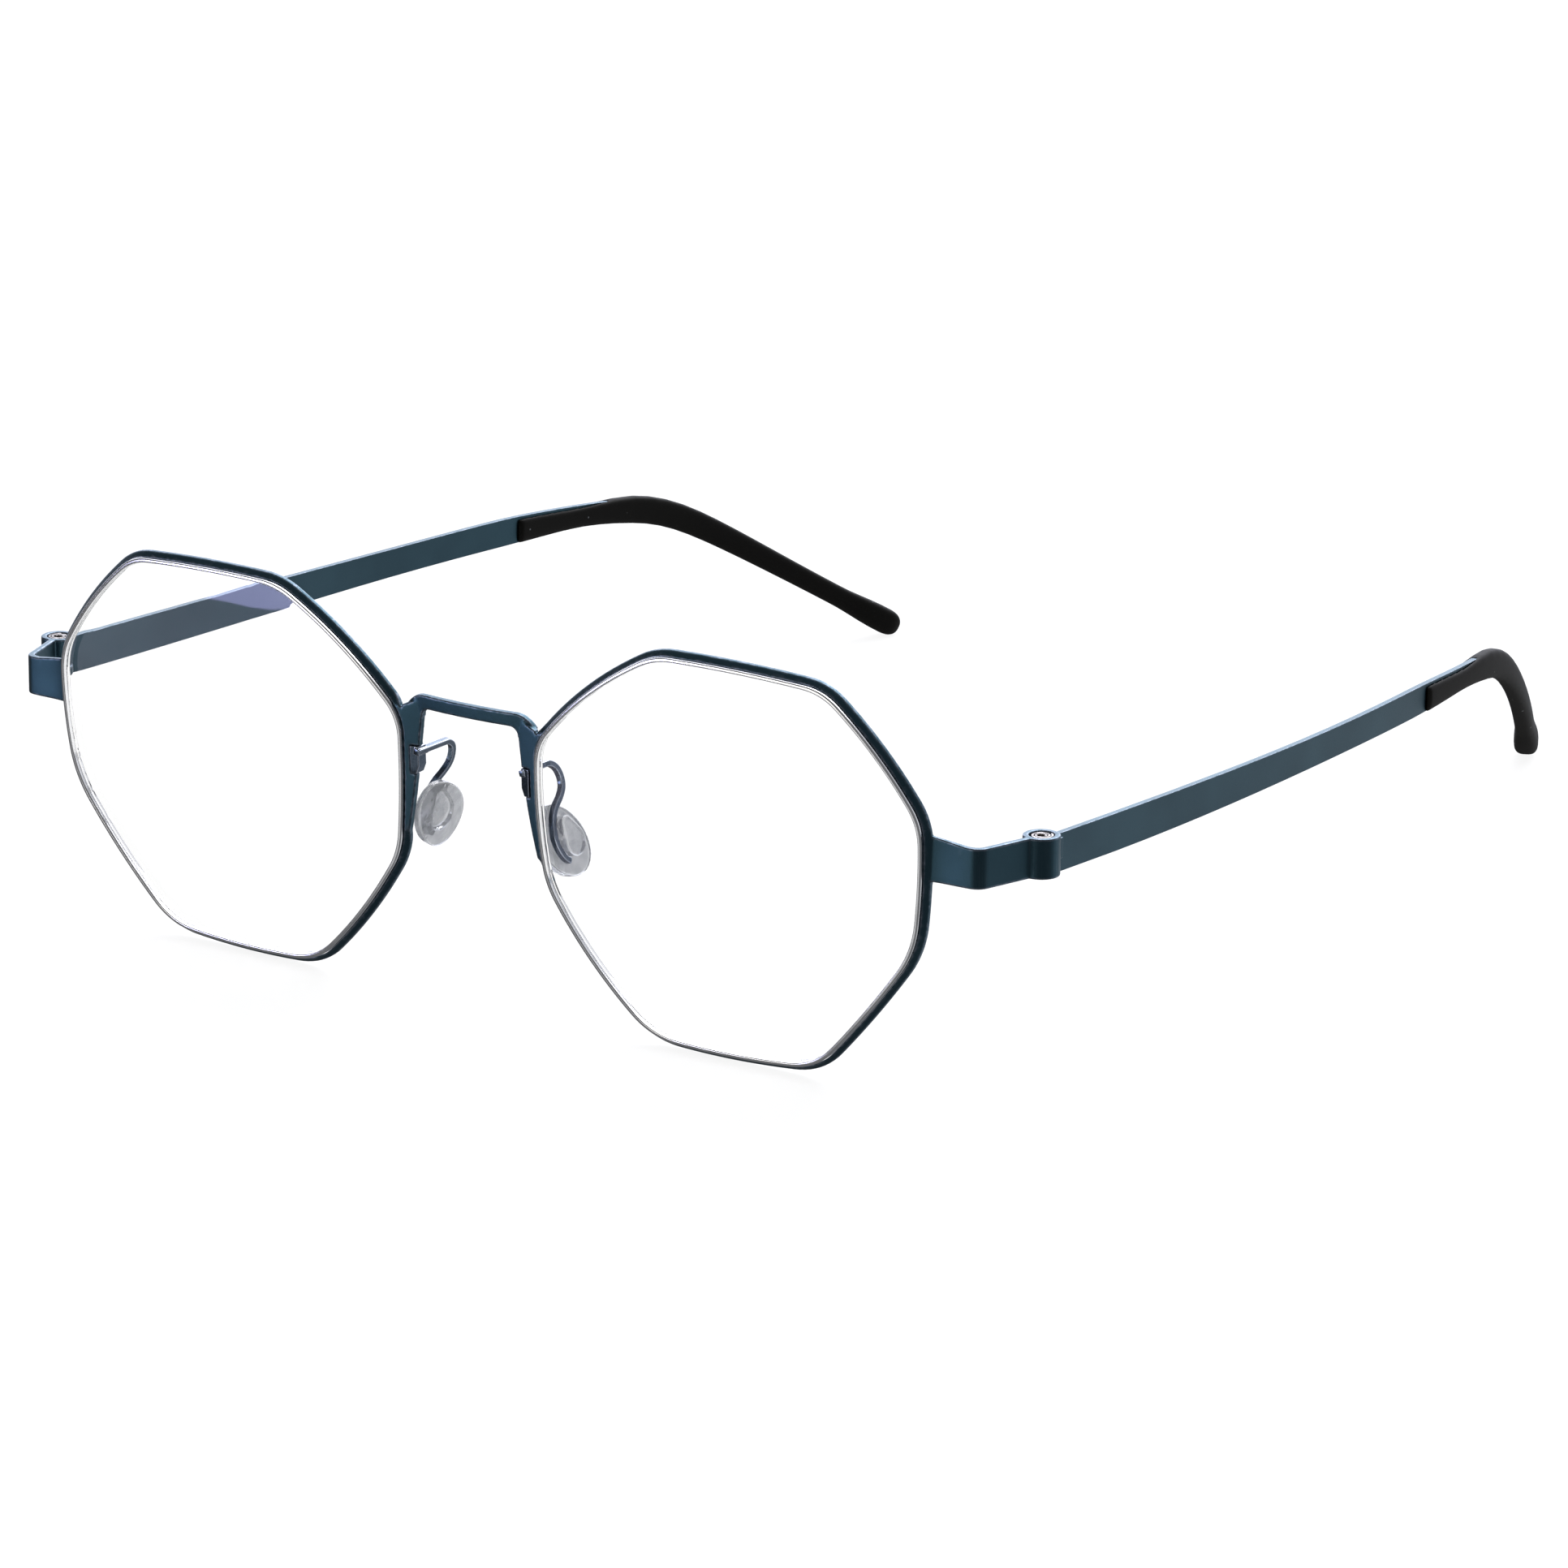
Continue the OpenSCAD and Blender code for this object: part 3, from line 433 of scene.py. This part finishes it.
def bevel_edges(bm, radius, rows):
    """Joins flat faces, rounds the sharp edges between them and marks the new faces"""
    mark = bm.faces.layers.float.new("rounded")
    bmesh.ops.dissolve_limit(bm, angle_limit=FLAT_ANGLE, verts=bm.verts, edges=bm.edges)
    sharp = [e for e in bm.edges if e.is_manifold and e.calc_face_angle(0) > SHARP_ANGLE]
    made = bmesh.ops.bevel(
        bm, geom=sharp, offset=radius, offset_type="OFFSET", segments=rows, profile=0.5,
        affect="EDGES", clamp_overlap=False)
    for face in made["faces"]:
        face[mark] = 1.0


def rounded(node, name, radius, rows=EDGE_ROWS):
    """A copy of a node whose sharp edges are rounded"""
    bm = working_copy(node)
    bevel_edges(bm, radius, rows)
    bmesh.ops.scale(bm, vec=(MM,) * 3, verts=bm.verts)
    mesh = finish_mesh(bm, name)
    mesh.shade_smooth()
    piece = link_mesh(name, mesh)
    weighted = piece.modifiers.new("even_shading", "WEIGHTED_NORMAL")
    weighted.weight = SHADING_WEIGHT
    return piece


def apply_modifiers(piece):
    """Gives a piece the mesh that its modifiers make, and removes them"""
    bpy.context.view_layer.update()
    depsgraph = bpy.context.evaluated_depsgraph_get()
    result = bpy.data.meshes.new_from_object(piece.evaluated_get(depsgraph))
    piece.modifiers.clear()
    piece.data = result
    return result


def moulded(node, name, voxel, relax, keep, bevel=0.0, reshape=None):
    """A copy of a node rebuilt on a fine grid and relaxed, so that it looks moulded or tumbled"""
    bm = working_copy(node)
    if bevel > 0:
        bevel_edges(bm, bevel, MOULD_EDGE_ROWS)
    piece = link_mesh(name, finish_mesh(bm, name))
    grid = piece.modifiers.new("grid", "REMESH")
    grid.mode = "VOXEL"
    grid.voxel_size = voxel
    soft = piece.modifiers.new("relax", "SMOOTH")
    soft.factor = RELAX_FACTOR
    soft.iterations = relax
    result = apply_modifiers(piece)
    if reshape is not None:
        reshape(result)
    fewer = piece.modifiers.new("fewer", "DECIMATE")
    fewer.ratio = keep
    result = apply_modifiers(piece)
    mark_edges(result)
    result.transform(Matrix.Scale(MM, 4))
    result.shade_smooth()
    return piece


def read_vectors(items, name):
    """One vector of each of a mesh's items, as the rows of an array"""
    values = np.empty(len(items) * 3, np.float32)
    items.foreach_get(name, values)
    return values.reshape(-1, 3)


def mark_edges(mesh):
    """Writes how sharply the surface turns at each point, for rubbed edges and painted edge highlights"""
    normals = read_vectors(mesh.vertex_normals, "vector")
    places = read_vectors(mesh.vertices, "co")
    ends = np.empty(len(mesh.edges) * 2, np.int32)
    mesh.edges.foreach_get("vertices", ends)
    a, b = ends.reshape(-1, 2).T
    length = np.maximum(np.linalg.norm(places[a] - places[b], axis=1), SHORTEST_EDGE)
    turn = ((normals[b] - normals[a]) * (places[b] - places[a])).sum(axis=1) / length ** 2
    most = np.zeros(len(mesh.vertices), np.float32)
    np.maximum.at(most, a, turn)
    np.maximum.at(most, b, turn)
    mark = mesh.attributes.new("rounded", "FLOAT", "POINT")
    mark.data.foreach_set("value", np.clip((most - EDGE_TURN[0]) / (EDGE_TURN[1] - EDGE_TURN[0]), 0, 1))


def moved_side(i, inset):
    """Start and direction of a side of the octagon, moved inwards"""
    a = Vector(CORNERS[i % CORNER_COUNT])
    b = Vector(CORNERS[(i + 1) % CORNER_COUNT])
    along = (b - a).normalized()
    return a - Vector((along.y, -along.x)) * inset, along


def meet(p, d, q, e):
    """Point where the line from p along d meets the line from q along e"""
    return p + d * ((q - p).cross(e) / d.cross(e))


def inset_corner(i, inset):
    """Corner of the octagon whose sides are moved inwards"""
    p, d = moved_side(i - 1, inset)
    q, e = moved_side(i, inset)
    return meet(p, d, q, e)


def round_share(i, side, inset):
    """Share of a side that the rounding of corner i takes up"""
    return ROUNDS[i] / (inset_corner(side + 1, inset) - inset_corner(side, inset)).length


def bowed(i, inset, t):
    """Point and direction on a bowed side at t from 0 to 1"""
    a = inset_corner(i, inset)
    b = inset_corner(i + 1, inset)
    run = b - a
    out = Vector((run.y, -run.x)).normalized() * 4 * BOWS[i % CORNER_COUNT]
    return a + run * t + out * t * (1 - t), run + out * (1 - 2 * t)


def rounding(a, b, c):
    """Points inside the curve from a to c that is drawn towards b"""
    shares = [k / CORNER_STEPS for k in range(1, CORNER_STEPS)]
    return [a * (1 - t) ** 2 + b * 2 * t * (1 - t) + c * t * t for t in shares]


def outline(inset):
    """Closed lens outline: bowed sides joined by rounded corners"""
    points = []
    for i in range(CORNER_COUNT):
        j = (i + 1) % CORNER_COUNT
        start = round_share(i, i, inset)
        end = 1 - round_share(j, i, inset)
        shares = [start + (end - start) * k / SIDE_STEPS for k in range(SIDE_STEPS + 1)]
        points += [bowed(i, inset, t)[0] for t in shares]
        a, d = bowed(i, inset, end)
        c, e = bowed(j, inset, round_share(j, j, inset))
        points += rounding(a, meet(a, d, c, e), c)
    return points


def from_lens(u, depth, w, sign):
    """Millimetre point of the frame from one in a lens's own axes: outwards, behind the dish, up"""
    d = DISH_RADIUS - math.sqrt((DISH_RADIUS - depth) ** 2 - u * u - w * w)
    x = u * math.cos(LENS_TURN) - d * math.sin(LENS_TURN) + LENS_OUT
    y = u * math.sin(LENS_TURN) + d * math.cos(LENS_TURN)
    back = y * math.cos(FRONT_TILT) - w * math.sin(FRONT_TILT)
    up = y * math.sin(FRONT_TILT) + w * math.cos(FRONT_TILT) + LENS_UP
    return Vector((x * sign, back, up))


def to_lens(point, sign):
    """The way back: outwards, behind the dish and up, from a millimetre point of the frame"""
    z = point.z - LENS_UP
    y = point.y * math.cos(FRONT_TILT) + z * math.sin(FRONT_TILT)
    w = z * math.cos(FRONT_TILT) - point.y * math.sin(FRONT_TILT)
    x = point.x * sign - LENS_OUT
    u = x * math.cos(LENS_TURN) + y * math.sin(LENS_TURN)
    d = y * math.cos(LENS_TURN) - x * math.sin(LENS_TURN)
    return u, DISH_RADIUS - math.sqrt((DISH_RADIUS - d) ** 2 + u * u + w * w), w


def quarter(centre, radius, start, steps):
    """Points of a quarter turn in a section, from an angle in degrees"""
    turns = [math.radians(start + 90 * k / steps) for k in range(steps + 1)]
    return [(centre[0] + radius * math.cos(a), centre[1] + radius * math.sin(a)) for a in turns]


def rim_section():
    """Inset and depth round the rim's section: two rounded front edges, lens seat, rounded back edge"""
    front = RIM_FRONT + RIM_ROUND
    outer = quarter((RIM_OUTER + RIM_ROUND, front), RIM_ROUND, 180, RIM_ROUND_STEPS)
    inner = quarter((RIM_INNER - RIM_ROUND, front), RIM_ROUND, 270, RIM_ROUND_STEPS)
    seat = [(RIM_INNER, RIM_SEAT[1]), RIM_SEAT, (RIM_SEAT[0], RIM_BACK)]
    back_centre = (RIM_OUTER + RIM_BACK_ROUND, RIM_BACK - RIM_BACK_ROUND)
    return outer + inner + seat + quarter(back_centre, RIM_BACK_ROUND, 90, RIM_BACK_STEPS)


def loft_ring(name, section, sign):
    """Closed ring round a lens, with the same section everywhere"""
    rows = [[from_lens(p.x, depth, p.y, sign) for p in outline(inset)] for inset, depth in section]
    count = len(rows[0])
    verts = [p * MM for row in rows for p in row]
    faces = []
    for r in range(len(rows)):
        below = r * count
        above = (r + 1) % len(rows) * count
        for k in range(count):
            n = (k + 1) % count
            face = (below + k, below + n, above + n, above + k)
            faces.append(face if sign > 0 else face[::-1])
    mesh = bpy.data.meshes.new(name)
    mesh.from_pydata(verts, [], faces)
    mesh.shade_smooth()
    return link_mesh(name, mesh)


def ring_steps(points):
    """A closed outline as evenly spaced points that lie close together"""
    steps = []
    for k, a in enumerate(points):
        b = points[(k + 1) % len(points)]
        count = max(1, round((b - a).length / RING_STEP))
        steps += [a.lerp(b, n / count) for n in range(count)]
    return steps


def ring_directions(steps):
    """Direction of the ring at each of its steps"""
    ahead = steps[TANGENT_STEPS:] + steps[:TANGENT_STEPS]
    behind = steps[-TANGENT_STEPS:] + steps[:-TANGENT_STEPS]
    return [(b - a).normalized() for a, b in zip(behind, ahead)]


def step_finder(steps):
    """Search tree that finds the nearest step of the ring"""
    tree = KDTree(len(steps))
    for k, p in enumerate(steps):
        tree.insert((p.x, p.y, 0), k)
    tree.balance()
    return tree


def near_ring(places, finder, sign):
    """Points of the sheet near one ring: number, nearest step, distance to it, depth and place"""
    near = []
    for v in np.nonzero(places[:, 0] * sign > 0)[0]:
        u, depth, w = to_lens(Vector(places[v]), sign)
        _, k, gap = finder.find((u, w, 0))
        if gap <= SLOPE_END and abs(depth) <= RING_DEPTH:
            near.append((v, k, gap, depth, Vector((u, w))))
    return near


def soft_share(marked):
    """Spreads marked steps to their neighbours, so that the share is one where half of them are marked"""
    reach = round(SPAN_FADE / RING_STEP)
    window = np.hanning(2 * reach + 1)
    closed = np.concatenate([marked[-reach:], marked, marked[:reach]])
    return np.minimum(1, 2 * np.convolve(closed, window / window.sum(), "valid"))


def span_shares(near, count):
    """How fully each step of the ring has sheet beyond it, on the nose side and on the temple side"""
    nose = np.zeros(count)
    lug = np.zeros(count)
    for _, k, gap, _, place in near:
        if ON_RING < gap < SPAN_REACH:
            side = nose if place.x < 0 else lug
            side[k] = 1
    return soft_share(nose), soft_share(lug)


def fade(t):
    """Smooth step from zero at t = 0 to one at t = 1"""
    t = min(1.0, max(0.0, t))
    return t * t * (3 - 2 * t)


def round_section(across, depth, share):
    """Moves a point of the ring's section towards a rounded oblong, by a share of the way"""
    x = 2 * across / SHEET_WIDTH - 1
    y = 2 * depth / SHEET_BACK - 1
    size = (abs(x) ** SECTION_POWER + abs(y) ** SECTION_POWER) ** (1 / SECTION_POWER)
    across += share * ((x / size + 1) * SHEET_WIDTH / 2 - across)
    depth += share * ((y / size + 1) * SHEET_BACK / 2 - depth)
    return across, depth


def sloped_depth(across, gap, depth, share):
    """Depth of a point once the face slopes back towards the ring's outer edge"""
    slope = min(across / SHEET_WIDTH, fade((SLOPE_END - gap) / (SLOPE_END - SHEET_WIDTH)))
    reach = FACE_SLOPE + (BACK_REACH - FACE_SLOPE) * min(1, max(0, depth / SHEET_BACK))
    return depth + slope * reach * share


def slope_ring(mesh):
    """Gives the ring a smooth section with a face that slopes back outwards, but not beside the nose"""
    places = read_vectors(mesh.vertices, "co")
    steps = ring_steps(outline(SHEET_WIDTH))
    directions = ring_directions(steps)
    finder = step_finder(steps)
    for sign in SIGN.values():
        near = near_ring(places, finder, sign)
        nose, lug = span_shares(near, len(steps))
        for v, k, gap, depth, place in near:
            along = directions[k]
            out = Vector((along.y, -along.x))
            offset = place - steps[k]
            across = offset.dot(out) if gap < ACROSS_REACH else gap
            free = 1 - nose[k]
            if gap < ON_RING:
                share = free * (1 - lug[k] * fade((across - LUG_START) / LUG_FADE))
                across, depth = round_section(across, depth, share)
                place = steps[k] + along * offset.dot(along) + out * across
            depth = sloped_depth(across, gap, depth, free)
            places[v] = from_lens(place.x, depth, place.y, sign)
    mesh.vertices.foreach_set("co", places.ravel())
    mesh.update()


def build_front():
    """Front of painted sheet: both rings, bridge, end pieces and barrels"""
    paint = painted_metal("front_teal")
    piece = moulded("front_frame", "front_sheet", **SHEET_MOULD, reshape=slope_ring)
    dress(piece, "front_frame", "front", paint)


def build_rims():
    """Silver ring round each lens"""
    silver = silver_metal()
    for side in SIDES:
        piece = loft_ring(f"rim_ring_{side}", rim_section(), SIGN[side])
        dress(piece, f"inner_rim_{side}", "front", silver)


def build_lenses():
    """Dished lenses with their edges broken"""
    glass = lens_glass()
    for side in SIDES:
        piece = rounded(f"lens_{side}", f"lens_glass_{side}", LENS_EDGE)
        dress(piece, f"lens_{side}", "front", glass)


def build_arms():
    """Arms that carry the nose pads"""
    steel = arm_metal()
    for side in SIDES:
        piece = rounded(f"pad_arm_{side}", f"arm_wire_{side}", ARM_EDGE, ARM_EDGE_ROWS)
        dress(piece, f"pad_arm_{side}", "front", steel)


def build_pads():
    """Soft nose pads"""
    silicone = pad_silicone()
    for side in SIDES:
        piece = moulded(f"nose_pad_{side}", f"nose_cushion_{side}", **PAD_MOULD)
        dress(piece, f"nose_pad_{side}", "front", silicone)


def build_strip(side, paint):
    """Temple of painted sheet"""
    piece = rounded(f"temple_{side}", f"temple_strip_{side}", SHEET_EDGE)
    dress(piece, f"temple_{side}", TEMPLE_BODY[side], paint)


def build_coil(side, bare):
    """Rolled coil that turns in the barrel of the hinge"""
    piece = rounded(f"hinge_coil_{side}", f"coil_roll_{side}", COIL_EDGE)
    dress(piece, f"hinge_coil_{side}", TEMPLE_BODY[side], bare)


def build_sleeve(side, black):
    """Sleeve over the end of the temple"""
    piece = moulded(f"temple_tip_{side}", f"tip_sleeve_{side}", **SLEEVE_MOULD)
    dress(piece, f"temple_tip_{side}", TEMPLE_BODY[side], black)


def build_temples():
    """What folds in on each side: the temple, its hinge coil and its sleeve"""
    paint = painted_metal("temple_teal")
    bare = coil_metal()
    black = sleeve_plastic()
    for side in SIDES:
        build_strip(side, paint)
        build_coil(side, bare)
        build_sleeve(side, black)


def build_glasses():
    """All pieces of the glasses"""
    build_front()
    build_rims()
    build_lenses()
    build_arms()
    build_pads()
    build_temples()


def build_floor():
    """Sheet of paper just under the glasses, which shiny pieces don't mirror"""
    mesh = bpy.data.meshes.new("floor")
    signs = ((-1, -1), (1, -1), (1, 1), (-1, 1))
    corners = [(x * FLOOR_HALF, y * FLOOR_HALF, -FLOOR_GAP * MM) for x, y in signs]
    mesh.from_pydata(corners, [], [(0, 1, 2, 3)])
    floor = link_mesh("floor", mesh)
    mesh.materials.append(floor_paper())
    floor.visible_glossy = False


def add_camera():
    """Camera at the photograph's point of view"""
    data = bpy.data.cameras.new("studio_camera")
    data.lens = CAMERA_LENS
    data.sensor_width = CAMERA_SENSOR
    data.clip_end = CAMERA_REACH
    camera = bpy.data.objects.new("studio_camera", data)
    bpy.context.scene.collection.objects.link(camera)
    back = CAMERA_RIGHT.cross(CAMERA_UP)
    camera.matrix_world = Matrix((
        (CAMERA_RIGHT.x, CAMERA_UP.x, back.x, CAMERA_AT.x),
        (CAMERA_RIGHT.y, CAMERA_UP.y, back.y, CAMERA_AT.y),
        (CAMERA_RIGHT.z, CAMERA_UP.z, back.z, CAMERA_AT.z),
        (0, 0, 0, 1)))
    bpy.context.scene.camera = camera


def glow(tree, coords, direction, inner, outer, colour):
    """Light of a soft round patch of the studio, seen within a cone of directions"""
    aim = Vector(direction).normalized()
    dot = add_node(tree, "ShaderNodeVectorMath", operation="DOT_PRODUCT")
    tree.links.new(coords, dot.inputs[0])
    dot.inputs[1].default_value = aim
    spread = add_node(tree, "ShaderNodeMapRange", interpolation_type="SMOOTHSTEP")
    spread.inputs["From Min"].default_value = math.cos(math.radians(outer))
    spread.inputs["From Max"].default_value = math.cos(math.radians(inner))
    tree.links.new(dot.outputs["Value"], spread.inputs["Value"])
    scaled = add_node(tree, "ShaderNodeVectorMath", operation="SCALE")
    scaled.inputs[0].default_value = colour
    tree.links.new(spread.outputs["Result"], scaled.inputs["Scale"])
    return scaled.outputs["Vector"]


def sum_of(tree, first, second):
    """Sum of two lights"""
    total = add_node(tree, "ShaderNodeVectorMath", operation="ADD")
    tree.links.new(first, total.inputs[0])
    tree.links.new(second, total.inputs[1])
    return total.outputs["Vector"]


def towards(azimuth, elevation):
    """Unit vector at an azimuth from +X towards +Y and an elevation over the horizon"""
    a = math.radians(azimuth)
    e = math.radians(elevation)
    return (math.cos(a) * math.cos(e), math.sin(a) * math.cos(e), math.sin(e))


def window_wall(tree, coords):
    """Bright walls in front and to the left, with a sharp lower edge that the lenses mirror"""
    split = add_node(tree, "ShaderNodeSeparateXYZ")
    tree.links.new(coords, split.inputs["Vector"])
    up = split.outputs["Z"]
    foot = map_range(tree, up, low=0.0, high=1.0, start=WALL_FOOT, end=WALL_FOOT + WALL_FOOT_FADE)
    top = map_range(tree, up, low=1.0, high=0.0, start=WALL_TOP[0], end=WALL_TOP[1])
    height = add_node(tree, "ShaderNodeMath", operation="MULTIPLY")
    tree.links.new(foot, height.inputs[0])
    tree.links.new(top, height.inputs[1])
    wall = glow(tree, coords, towards(*WALL_AT), *WALL_CONE, WALL_COLOUR)
    next_wall = glow(tree, coords, towards(*NEXT_WALL_AT), *NEXT_WALL_CONE, NEXT_WALL_COLOUR)
    cut = add_node(tree, "ShaderNodeVectorMath", operation="SCALE")
    tree.links.new(sum_of(tree, wall, next_wall), cut.inputs[0])
    tree.links.new(height.outputs["Value"], cut.inputs["Scale"])
    return cut.outputs["Vector"]


def add_world():
    """Dim studio with a window wall in front and soft bright patches overhead and all round"""
    world = bpy.data.worlds.new("studio")
    bpy.context.scene.world = world
    world.use_nodes = True
    tree = world.node_tree
    coords = add_node(tree, "ShaderNodeTexCoord").outputs["Generated"]
    ambient = add_node(tree, "ShaderNodeVectorMath", operation="ADD")
    tree.links.new(window_wall(tree, coords), ambient.inputs[0])
    ambient.inputs[1].default_value = AMBIENT
    light = ambient.outputs["Vector"]
    for patch in STUDIO:
        light = sum_of(tree, light, glow(tree, coords, *patch))
    background = tree.nodes["Background"]
    tree.links.new(light, background.inputs["Color"])
    background.inputs["Strength"].default_value = 1.0


def add_overhead():
    """Large soft panel above and behind the glasses"""
    data = bpy.data.lights.new("overhead", "AREA")
    data.shape = "RECTANGLE"
    data.size = OVERHEAD_SIZE
    data.size_y = OVERHEAD_SIZE
    data.energy = OVERHEAD_POWER
    data.color = OVERHEAD_COLOUR
    light = bpy.data.objects.new("overhead", data)
    light.location = OVERHEAD_AT
    light.rotation_euler = (OVERHEAD_AIM - OVERHEAD_AT).to_track_quat("-Z", "Y").to_euler()
    bpy.context.scene.collection.objects.link(light)


add_camera()
bpy.context.scene.view_settings.view_transform = "Standard"
build_glasses()
build_floor()
add_world()
add_overhead()
